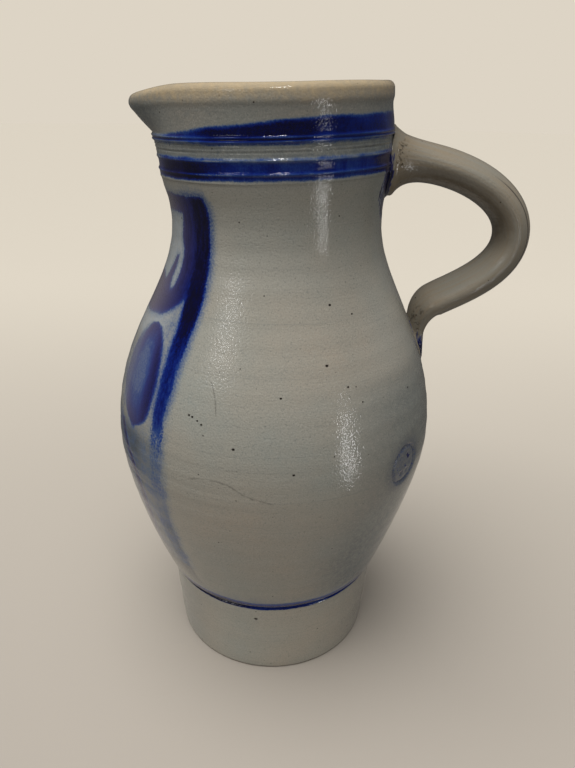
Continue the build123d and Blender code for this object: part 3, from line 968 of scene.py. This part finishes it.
def bandLoad(hand, load):
    b = cobaltBands
    level, away, wave, ripple, grain = hand.level, hand.away, hand.wave, hand.ripple, hand.grain
    crest = level * 0
    for centre in b["crests"]:
        crest = crest.most((b["crestHalf"] - abs(level - centre)).ease(0, b["crestHalf"]))
    worn = 1 - crest * (b["crestWorn"] + wave + grain)
    edgeWave = ripple * b["edgeRipple"] + grain * b["edgeGrain"]

    def uneven(paint):
        return paint + wave * b["paintWave"] + ripple * b["paintRipple"]

    upper = (level - b["upperBottom"]).least(away.curve(b["upperTop"]) - level) + edgeWave
    paint = b["upperPaint"] + b["upperFront"] * away.within(*b["upperFrontTurn"])
    paint = paint - b["upperBack"] * away.ease(*b["upperBackTurn"])
    paint = paint - b["upperSpout"] * (1 - away.ease(*b["upperSpoutTurn"]))
    load = load.most(upper.ease(*b["upperEdge"]) * uneven(paint) * worn)
    lower = (level - b["lowerBottom"]).least(b["lowerTop"] - level) + edgeWave
    paint = b["lowerPaint"] + b["lowerDark"] * away.within(*b["lowerDarkTurn"])
    paint = paint + b["lowerBack"] * away.ease(*b["lowerBackTurn"]) + hand.streaks * b["lowerStreaks"]
    always, below = b["lowerShares"]
    fade = always + below * (b["lowerTop"] - level + edgeWave).ease(*b["lowerFade"])
    load = load.most(lower.ease(*b["lowerEdge"]) * fade * uneven(paint) * worn)
    load = load.most(upper.most(lower).ease(*b["haloEdge"]) * b["halo"])

    footLevel = level + ripple * b["footRipple"] + grain * b["footGrain"]
    footPaint = b["footPaint"] - b["footBack"] * away.ease(*b["footBackTurn"])
    load = load.most(footLevel.within(*b["footLine"]) * (footPaint + wave * b["footWave"]))
    skirt = footLevel.ease(*b["skirtFrom"]) * (1 - footLevel.ease(*b["skirtFade"]))
    skirtPaint = b["skirtPaint"] + b["skirtFront"] * (1 - away.ease(*b["skirtFrontTurn"]))
    load = load.most(skirt * (skirtPaint + wave * b["skirtWave"] + grain * b["skirtGrain"]))
    wash = level.ease(*b["washFrom"]) * (1 - level.ease(*b["washFade"]))
    return load.most(wash * (b["wash"] + grain * b["washGrain"] + ripple * b["washRipple"]))


# Blue pooled on the wall round the two ends of the handle: half sizes across and up, and height
handlePools = {
    "behind": (20, 40), "dripRun": (0.5, 0.5, 0.1), "drips": (0.9, 3), "edge": (0.0, 0.2),
    "rootHalf": (21.0, 23.0), "rootLevel": 319.0, "rootReach": 1.45, "rootDrips": 0.9,
    "rootPaint": 0.8, "rootPaintDrips": 2.2, "rootThin": 0.85, "rootThinUp": (322, 336),
    "tailHalf": (11.0, 13.0), "tailLevel": 211.0, "tailReach": 1.15, "tailDrips": 0.6, "tailPaint": 0.7,
}


def pooledLoad(place):
    s = handlePools
    x, y, z = place.split()
    behind = x.ease(*s["behind"])
    drips = place.stretched(*s["dripRun"]).noise(*s["drips"])

    def pool(half, level, reach, dripping):
        away = ((y / half[0]) ** 2 + ((z - level) / half[1]) ** 2) ** 0.5
        return (reach - away + drips * dripping).ease(*s["edge"]) * behind

    root = pool(s["rootHalf"], s["rootLevel"], s["rootReach"], s["rootDrips"])
    root = root * (s["rootPaint"] + drips * s["rootPaintDrips"])
    root = root * (1 - s["rootThin"] * z.ease(*s["rootThinUp"]))
    tail = pool(s["tailHalf"], s["tailLevel"], s["tailReach"], s["tailDrips"]) * (s["tailPaint"] + drips)
    return root.most(tail)


# Cobalt and slate washed over the round mark, in millimetres round its middle
markWash = {
    "ring": 2.2, "ringGrain": 4, "ringEdge": (-3.0, 3.0),
    "ringPaint": 0.22, "ringPaintGrain": 0.9, "ringSlate": 0.6,
    "wash": 17.0, "washGrain": 9, "washEdge": (-6, 6),
    "washPaint": 0.14, "washPaintGrain": 0.3, "washSlate": 0.36,
    "blots": (0.42, 2), "blotsFrom": (0.06, 0.16), "blotsTo": (6, 9), "blotPaint": 0.85,
}


def markLoad(place, turn, level, radius, grain):
    s = markWash
    side = abs(turn - (180 + roundMark["turn"]))
    away = ((side * radius * (math.pi / 180)) ** 2 + (level - roundMark["level"]) ** 2) ** 0.5
    ring = (s["ring"] - abs(away - roundMark["ringRadius"]) + grain * s["ringGrain"]).ease(*s["ringEdge"])
    wash = (s["wash"] - away + grain * s["washGrain"]).ease(*s["washEdge"])
    blots = place.noise(*s["blots"]).ease(*s["blotsFrom"]) * (1 - away.ease(*s["blotsTo"])) * s["blotPaint"]
    load = (ring * (s["ringPaint"] + grain * s["ringPaintGrain"])).most(blots)
    load = load.most(wash * (s["washPaint"] + grain * s["washPaintGrain"]))
    return load, (ring * (s["ringSlate"] + grain)).most(wash * s["washSlate"])


# Iron burnt through the glaze: specks as degrees from the spout, height and size, and two hair lines
ironSpots = {
    "specks": [
        (62.4, 201.4, 0.8), (63.7, 200.9, 0.7), (65.7, 199.5, 0.6), (67.3, 198.0, 0.7),
        (68.3, 192.6, 0.6), (115.0, 256.7, 0.8), (125.0, 250.9, 0.6), (110.1, 228.8, 0.9),
        (93.3, 214.7, 0.7), (117.1, 217.3, 0.7), (78.5, 188.0, 0.9), (97.3, 175.0, 0.8),
        (146.0, 205.7, 0.7), (122.1, 208.3, 0.5), (82.7, 47.4, 1.2),
    ],
    "squash": 1.3, "ragged": 0.8, "speckIn": 0.6, "speckOut": 1.3,
    "glazeLine": [(64, 166.5), (73.6, 168.5), (82.5, 161.8), (92, 157.0)], "glazeLineHalf": 0.45,
    "glazeLineTurn": (65, 90, 2), "glazeLineWave": 2, "glazeLinePaint": 0.3, "glazeLineBroken": 1.4,
    "scratch": [(204, 72.0), (212, 71.0), (220, 68.6)],
    "scratchHalf": 0.35, "scratchUp": (205, 219, 2), "scratchPaint": 0.3,
}


def ironMarks(turn, level, radius, mottle):
    s = ironSpots
    perDegree = radius * (math.pi / 180)
    marks = level * 0
    for spot, height, size in s["specks"]:
        apart = (((turn - spot) * perDegree) ** 2 + ((level - height) * s["squash"]) ** 2) ** 0.5
        apart = apart + mottle * s["ragged"]
        marks = marks.most(1 - apart.ease(size * s["speckIn"], size * s["speckOut"]))
    lineAway = abs(level + mottle * s["glazeLineWave"] - turn.curve(s["glazeLine"]))
    line = (1 - lineAway.ease(0, s["glazeLineHalf"] * 2)) * turn.within(*s["glazeLineTurn"])
    line = line * (s["glazeLinePaint"] + mottle * s["glazeLineBroken"])
    scratchAway = abs(turn - level.curve(s["scratch"])) * perDegree
    scratch = (1 - scratchAway.ease(0, s["scratchHalf"] * 2)) * level.within(*s["scratchUp"])
    scratch = scratch * (s["scratchPaint"] + mottle)
    return marks.most(line).most(scratch)


# Salt glaze on the body: noises are scale, detail and roughness, places millimetres and turns degrees
saltGlaze = {
    "clouds": (0.014, 3, 0.6), "cloudTint": 2.4, "mottle": (0.32, 3, 0.6), "mottleTint": 0.8,
    "flecks": (1.3, 2, 0.6), "fleckFrom": (0.03, 0.25), "darkFlecks": 0.4, "paleFlecks": 0.35,
    "wheelRun": (0.006, 0.006, 1.1), "wheelLines": (1.0, 3, 0.7),
    "wheelFrom": (0.05, 0.35), "wheelTint": 0.35,
    # The shade keys set painted shade laid over the clay in the dusk colour
    "shadeCover": 0.8, "handleShade": 0.64, "handleShadeAcross": (26, 84),
    "neckLess": 0.5, "neckLessUp": (225, 280, 25),
    "collarShade": 0.4, "collarShadeUp": (308, 324), "bandShade": 0.35, "bandShadeUp": (328, 333, 1.5),
    "spoutShade": 0.55, "spoutShadeAcross": (-78, -48), "spoutShadeUp": (335, 345),
    "skirtShade": 0.15, "skirtShadeMore": 0.85, "skirtShadeFrom": (60, 74), "skirtShadeTo": (90, 160),
    "skirtShadeAcross": (10, 60),
    "footShade": 0.45, "footShadeAcross": (-66, -30), "footShadeUp": (50, 60),
    # Painted light: these keys lighten the neck's left and the shoulder on the handle side towards the fleck
    # colour
    "paintedLightCover": 0.8, "neckPaintedLight": 0.4, "neckPaintedLightUp": (272, 306, 18), "neckPaintedLightAcross": (-10, 45),
    "shoulderPaintedLight": 0.4, "shoulderPaintedLightUp": (228, 262, 18), "shoulderPaintedLightAcross": (36, 66),
    "frost": 0.55, "frostTurn": (34, 48), "frostUp": (232, 300, 10),
    "lipTan": 0.85, "lipUp": (350, 358), "lipRagged": 6,
    "insideBare": 0.5, "insideCover": 0.8, "insideClear": (0.2, 0.8),
    "specks": (0.1, 0.06, 0.8), "speckTint": 0.9, "fineSpecks": (0.22, 0.12, 0.5), "fineSpeckTint": 0.35,
    "soleUp": (0.3, 1.2), "footEdge": 0.8, "footEdgeUp": (0.8, 2.0),
    "footEdgeFrom": (0.05, 0.3), "footEdgeRagged": 1.5,
    "paintGrain": 0.5, "paintFrom": (0.03, 0.4), "rootViolet": 0.75, "rootVioletAcross": (50, 60),
    "roughness": 0.09, "roughMottle": 0.06, "soleRough": 0.5,
    "peel": 0.9, "peelHeight": 0.098, "wheelHeight": 0.05, "mottleHeight": 0.05,
}


# Painted shade: the clay darkened towards the handle side, under the collar, on the spout, between the ribs,
# low on the skirt and at the foot
def paintedShade(x, z, level):
    s = saltGlaze
    shade = x.ease(*s["handleShadeAcross"]) * (s["handleShade"] - s["neckLess"] * z.within(*s["neckLessUp"]))
    shade = shade + level.ease(*s["collarShadeUp"]) * s["collarShade"]
    shade = shade + (1 - x.ease(*s["spoutShadeAcross"])) * level.ease(*s["spoutShadeUp"]) * s["spoutShade"]
    shade = shade + level.within(*s["bandShadeUp"]) * s["bandShade"]
    skirt = z.ease(*s["skirtShadeFrom"]) * (1 - z.ease(*s["skirtShadeTo"]))
    shade = shade + skirt * (s["skirtShade"] + s["skirtShadeMore"] * x.ease(*s["skirtShadeAcross"]))
    return shade + (1 - x.ease(*s["footShadeAcross"])) * (1 - z.ease(*s["footShadeUp"])) * s["footShade"]


def jugGlaze():
    s = saltGlaze
    material, shader, place = newGlaze("saltGlaze")
    x, y, z = place.split()
    lean = math.tan(math.radians(jugBody["tilt"]))
    level = z - x * lean * z.ease(jugBody["tiltFrom"], jugBody["tiltTo"])
    radius = (x * x + y * y) ** 0.5
    turn = x.math("ARCTAN2", 0 - y, 0 - x) * (180 / math.pi)
    inside = place.node("Attribute", {"attribute_name": "inside"}, {}, "Fac")
    outside = 1 - inside

    # paint
    hand = Hand(place, turn, level, radius)
    load, violet, mauve, slate = panelLoad(hand)
    load = bandLoad(hand, load)
    violet = violet.least(1).most(0) * load.ease(*panelWash["violetLoad"])
    markPaint, markSlate = markLoad(place, turn, level, radius, hand.grain)
    load = load.most(pooledLoad(place)).most(markPaint) * (1 - inside.ease(*s["insideClear"]))

    # clay
    clouds = place.noise(*s["clouds"])
    mottle = place.noise(*s["mottle"])
    flecks = place.noise(*s["flecks"])
    wheelLines = place.stretched(*s["wheelRun"]).noise(*s["wheelLines"])
    clay = (clouds * s["cloudTint"] + 0.5).tint(fired["cool"], fired["warm"])
    clay = (0.5 + mottle * s["mottleTint"]).tint(clay, fired["clay"])
    # painted shade in the dusk colour
    clay = (paintedShade(x, z, level) * (s["shadeCover"] + clouds + mottle)).tint(clay, fired["dusk"])
    # painted light on the left of the neck and on the shoulder by the handle
    paintedLight = z.within(*s["neckPaintedLightUp"]) * (1 - x.ease(*s["neckPaintedLightAcross"])) * s["neckPaintedLight"]
    paintedLight = paintedLight + z.within(*s["shoulderPaintedLightUp"]) * x.ease(*s["shoulderPaintedLightAcross"]) * s["shoulderPaintedLight"]
    clay = (paintedLight * (s["paintedLightCover"] + clouds)).tint(clay, fired["fleck"])
    clay = (flecks.ease(*s["fleckFrom"]) * s["darkFlecks"]).tint(clay, fired["dusk"])
    clay = ((0 - flecks).ease(*s["fleckFrom"]) * s["paleFlecks"]).tint(clay, fired["fleck"])
    clay = (wheelLines.ease(*s["wheelFrom"]) * s["wheelTint"]).tint(clay, fired["dusk"])
    frost = (1 - hand.away.ease(*s["frostTurn"])) * level.within(*s["frostUp"]) * (s["frost"] + mottle)
    clay = frost.tint(clay, fired["frost"])
    clay = (slate.most(markSlate) * outside).tint(clay, fired["slate"])
    lipTan = (level + mottle * s["lipRagged"] + clouds * s["lipRagged"]).ease(*s["lipUp"])
    lipTan = lipTan * (s["lipTan"] + mottle)
    clay = lipTan.tint(clay, fired["lip"])
    clay = ((inside * s["insideBare"]) * (s["insideCover"] + mottle)).tint(clay, fired["bare"])
    iron = place.specks(*s["specks"]) * s["speckTint"]
    iron = iron.most(place.specks(*s["fineSpecks"]) * s["fineSpeckTint"])
    clay = iron.most(ironMarks(turn, level, radius, mottle)).tint(clay, fired["iron"])
    sole = 1 - level.ease(*s["soleUp"])
    clay = (sole * outside).tint(clay, fired["bare"])
    # the foot's bottom edge darkened: bare iron-brown clay, with painted contact shadow over it
    footEdge = 1 - (level + mottle * s["footEdgeRagged"]).ease(*s["footEdgeUp"])
    footEdge = footEdge * level.ease(*s["footEdgeFrom"]) * outside
    clay = (footEdge * s["footEdge"]).tint(clay, fired["footEdge"])

    paint = (load * (1 + hand.grain * s["paintGrain"])).least(1)
    violet = violet.most(x.ease(*s["rootVioletAcross"]) * s["rootViolet"])
    colour = paint.ease(*s["paintFrom"]).tint(clay, cobaltColour(paint, violet))
    feed(shader, "Base Color", mauve.tint(colour, fired["mauve"]))
    feed(shader, "Roughness", s["roughness"] + mottle * s["roughMottle"] + sole * outside * s["soleRough"])
    relief = place.bumps(s["peel"]) * s["peelHeight"]
    relief = relief + wheelLines * s["wheelHeight"] + mottle * s["mottleHeight"]
    feed(shader, "Normal", bump(relief, 1.0))
    return material


# Glaze on the handle: run is millimetres along the strap, back and across lie on a circle round it
strapGlaze = {
    "mottle": (0.3, 3, 0.6), "clouds": (0.03, 3), "cloudTint": 2,
    "pullRun": (0.02, 0.5, 0.5), "pulls": (1.0, 3, 0.65), "pullBare": 0.22, "pullTint": 2.4,
    # The inner keys set painted shade inside the handle's bow
    "innerShade": 0.6, "innerBack": (-18, 8), "innerTo": (84, 112),
    "rootEnd": (3, 20), "tailEnd": (176, 192), "endBare": 0.5,
    # The crease keys set a painted shade line along the crease on the outside of the bow
    "creaseHalf": 1.2, "creaseSoft": (0, 1.0), "creaseBack": 14.6,
    "creaseRun": (72, 106, 16), "creaseTint": 0.75,
    "specks": (0.13, 0.09, 0.3), "endSpecks": (0.3, 0.2, 0.5), "speckTint": 0.8,
    "pits": (0.5, 3, 0.6), "pitsFrom": (0.0, 0.2), "pitTint": 0.7, "pitsAcross": (4, 12),
    "rootPits": (4, 8, 3), "rootPitsBack": (0, 14, 4), "tailPits": (166, 176, 6), "tailPitsBack": (-8, 2),
    "dripRun": (0.15, 0.5, 0.5), "drips": (0.8, 3), "blueRun": (176, 186), "blueReach": 16,
    "blue": 0.95, "blueDrips": 2.0, "blueFrom": (0.1, 0.5), "blueViolet": 0.4,
    "roughness": 0.17, "roughMottle": 0.12,
    "peel": 0.8, "peelHeight": 0.12, "pullHeight": 0.2, "mottleHeight": 0.1, "pitDepth": 0.5,
}


def handleGlaze():
    s = strapGlaze
    material, shader, place = newGlaze("handleGlaze")
    strap = place.node("Attribute", {"attribute_name": "strap"}, {}, "Vector")
    run, across, back = strap.split()
    mottle = place.noise(*s["mottle"])
    clouds = place.noise(*s["clouds"])
    pulls = strap.stretched(*s["pullRun"]).noise(*s["pulls"])
    drips = strap.stretched(*s["dripRun"]).noise(*s["drips"])
    clay = (clouds * s["cloudTint"] + 0.5).tint(fired["handleCool"], fired["handleWarm"])
    clay = (s["pullBare"] + pulls * s["pullTint"]).tint(clay, fired["bare"])
    # painted shade on the inside of the bow and under the upper arm, in the handleShade colour
    inner = (1 - back.ease(*s["innerBack"])) * (s["innerShade"] + mottle + clouds)
    inner = inner * (1 - run.ease(*s["innerTo"]))
    clay = inner.tint(clay, fired["handleShade"])
    ends = (1 - run.ease(*s["rootEnd"])).most(run.ease(*s["tailEnd"]))
    clay = (ends * (s["endBare"] + mottle)).tint(clay, fired["bare"])
    # painted shade: a dark line along the crease on the outside of the bow, in the iron colour
    paintedCreaseShade = (s["creaseHalf"] - abs(back - s["creaseBack"])).ease(*s["creaseSoft"])
    paintedCreaseShade = paintedCreaseShade * run.within(*s["creaseRun"])
    clay = (paintedCreaseShade * s["creaseTint"]).tint(clay, fired["iron"])
    iron = place.specks(*s["specks"]).most(place.specks(*s["endSpecks"]) * ends)
    clay = (iron * s["speckTint"]).tint(clay, fired["iron"])
    rough = run.within(*s["rootPits"]) * back.within(*s["rootPitsBack"])
    rough = rough + run.within(*s["tailPits"]) * (1 - back.ease(*s["tailPitsBack"]))
    rough = rough * across.ease(*s["pitsAcross"]) * place.noise(*s["pits"]).ease(*s["pitsFrom"])
    clay = (rough * s["pitTint"]).tint(clay, fired["pits"])
    blue = (run + drips * s["blueReach"]).ease(*s["blueRun"]) * (s["blue"] + drips * s["blueDrips"])
    cobalt = cobaltColour(blue.least(1), drips + s["blueViolet"])
    feed(shader, "Base Color", blue.ease(*s["blueFrom"]).tint(clay, cobalt))
    feed(shader, "Roughness", s["roughness"] + mottle * s["roughMottle"])
    relief = place.bumps(s["peel"]) * s["peelHeight"] + pulls * s["pullHeight"]
    relief = relief + mottle * s["mottleHeight"] - rough * s["pitDepth"]
    feed(shader, "Normal", bump(relief, 1.0))
    return material


# Slip round the ends of the handle: blue where it is smeared over the wall, bare clay higher up
lutingGlaze = {
    "mottle": (0.4, 3, 0.6), "dripRun": (0.5, 0.5, 0.12), "drips": (0.9, 3),
    "blue": 1.1, "blueDrips": 1.8, "smearDrips": 0.6, "smearTo": (0.25, 0.6),
    "blueReach": 30, "blueUp": (318, 330),
    "blueFrom": (0.2, 0.6), "blueViolet": 0.8,
    "roughness": 0.24, "roughMottle": 0.15,
    "lumps": (0.7, 2), "lumpHeight": 0.4, "mottleHeight": 0.6, "relief": 0.6,
}


def slipGlaze():
    s = lutingGlaze
    material, shader, place = newGlaze("slipGlaze")
    smear = place.node("Attribute", {"attribute_name": "smear"}, {}, "Fac")
    level = place.split()[2]
    mottle = place.noise(*s["mottle"])
    drips = place.stretched(*s["dripRun"]).noise(*s["drips"])
    clay = (0.5 + mottle).tint(fired["handleCool"], fired["bare"])
    blue = (s["blue"] + drips * s["blueDrips"]) * (1 - (smear + drips * s["smearDrips"]).ease(*s["smearTo"]))
    blue = blue * (1 - (level + drips * s["blueReach"]).ease(*s["blueUp"]))
    blue = blue.most(0).least(1)
    cobalt = cobaltColour(blue, drips + s["blueViolet"])
    feed(shader, "Base Color", blue.ease(*s["blueFrom"]).tint(clay, cobalt))
    feed(shader, "Roughness", s["roughness"] + mottle * s["roughMottle"])
    relief = mottle * s["mottleHeight"] + place.noise(*s["lumps"]) * s["lumpHeight"]
    feed(shader, "Normal", bump(relief, s["relief"]))
    return material


# Camera as the photo was taken, fitted on the foot, belly, collar and handle: millimetres, degrees, pixels
camera = {
    "place": (8.2, -369.8, 354.5), "down": 24.99, "roll": 1.19, "focus": 621.0, "frameHeight": 768.0,
    "sensor": 36.0, "nearest": 0.01,
}


def makeCamera():
    lens = bpy.data.cameras.new("camera")
    lens.sensor_width = camera["sensor"]
    lens.lens = lens.sensor_width * camera["focus"] / camera["frameHeight"]
    lens.clip_start = camera["nearest"]
    eye = bpy.data.objects.new("camera", lens)
    pitch = Matrix.Rotation(math.radians(90 - camera["down"]), 4, "X")
    roll = Matrix.Rotation(math.radians(camera["roll"]), 4, "Z")
    eye.matrix_world = Matrix.Translation(Vector(camera["place"]) * mm) @ pitch @ roll
    bpy.context.scene.collection.objects.link(eye)
    bpy.context.scene.camera = eye
    print("camera placed")


# Floor, backdrop and lamps, in metres and watts
studio = {
    "floorRadius": 8.0, "floorSides": 64, "floorRoughness": 0.6,
    "floorRun": (-0.3, 0.9), "tableRadius": (0.14, 0.38),
    "nearFloor": chart(160, 152, 142), "farFloor": chart(195, 187, 173), "bounce": chart(78, 76, 73),
    "backdrop": chart(221, 212, 197), "ambient": 0.08,
    "sky": {"from": (-0.2, -0.13, 1.0), "strength": 4.0, "spread": 60.0},
}
lamps = {
    "left": {"place": (-1.5, -0.7, 0.7), "size": (0.9, 1.2), "power": 3.6,
             "aim": (0, 0, 0.2), "glint": False},
    "fill": {"place": (0.75, -1.3, 0.85), "size": (1.2, 1.2), "power": 5.5,
             "aim": (0, 0, 0.2), "glint": False},
    "front": {"place": (0.07, -1.12, 1.7), "size": (0.16, 0.16), "power": 6.0,
              "aim": (0, 0, 0.2), "glint": True},
    "corner": {"place": (-0.97, -1.03, 0.93), "size": (0.09, 0.1), "power": 0.4,
               "aim": (0, 0, 0.2), "glint": True},
    "sheen": {"place": (-0.97, -1.03, 0.93), "size": (0.6, 0.5), "power": 1.1,
              "aim": (0, 0, 0.2), "glint": True},
    "streak": {"place": (0.479, -0.439, 0.155), "size": (0.014, 0.58), "power": 0.56,
               "aim": (0.11, -0.1, 1.02), "glint": True},
}


def hang(name, lamp, place, aim):
    light = bpy.data.objects.new(name + "Light", lamp)
    light.location = place
    light.rotation_mode = "QUATERNION"
    light.rotation_quaternion = (Vector(aim) - Vector(place)).to_track_quat("-Z", "Y")
    light.visible_camera = False
    bpy.context.scene.collection.objects.link(light)
    return light


# A glint lamp gives nothing but highlights, and the others none of them
def softLight(name):
    s = lamps[name]
    lamp = bpy.data.lights.new(name + "Light", "AREA")
    lamp.shape = "RECTANGLE"
    lamp.size, lamp.size_y = s["size"]
    lamp.energy = s["power"]
    light = hang(name, lamp, s["place"], s["aim"])
    light.visible_diffuse = not s["glint"]
    light.visible_glossy = s["glint"]


# One wide soft light from overhead, even over the whole floor
def skyLight():
    s = studio["sky"]
    lamp = bpy.data.lights.new("skyLight", "SUN")
    lamp.energy = s["strength"]
    lamp.angle = math.radians(s["spread"])
    light = hang("sky", lamp, s["from"], (0, 0, 0))
    light.visible_glossy = False


# A pale round floor, which throws little light back
def makeFloor():
    s = studio
    mesh = bpy.data.meshes.new("floor")
    spots = np.linspace(0, 2 * math.pi, s["floorSides"] + 1)[:-1]
    ring = [(s["floorRadius"] * math.cos(t), s["floorRadius"] * math.sin(t), 0) for t in spots]
    mesh.from_pydata(ring, [], [list(range(len(ring)))])
    floor = bpy.data.objects.new("floor", mesh)
    bpy.context.scene.collection.objects.link(floor)
    material, shader, place = newGlaze("floorPaint")
    x, y = place.split()[:2]
    near = 1 - ((x * x + y * y) ** 0.5 * mm).ease(*s["tableRadius"])
    seen = place.node("LightPath", {}, {}, "Is Camera Ray")
    paint = (y * mm).ease(*s["floorRun"]).tint(s["nearFloor"], s["farFloor"])
    feed(shader, "Base Color", near.most(seen).tint(s["bounce"], paint))
    feed(shader, "Roughness", s["floorRoughness"])
    feed(shader, "Specular IOR Level", 0.0)
    mesh.materials.append(material)


def makeStudio():
    scene = bpy.context.scene
    scene.view_settings.view_transform = "Standard"
    makeFloor()
    world = bpy.data.worlds.new("studioWorld")
    world.use_nodes = True
    scene.world = world
    tree = world.node_tree
    seen = Wire(tree, tree.nodes.new("ShaderNodeLightPath").outputs["Is Camera Ray"])
    ambient = (studio["ambient"], studio["ambient"], studio["ambient"], 1.0)
    feed(tree.nodes["Background"], "Color", seen.tint(ambient, studio["backdrop"]))
    skyLight()
    for name in lamps:
        softLight(name)
    print("studio ready")


glaze = jugGlaze()
print("body glaze mixed")
makeBody(glaze)
makeHandle(handleGlaze())
slip = slipGlaze()
for lutingName in jugLutings:
    makeLuting(lutingName, slip)
makeCamera()
makeStudio()
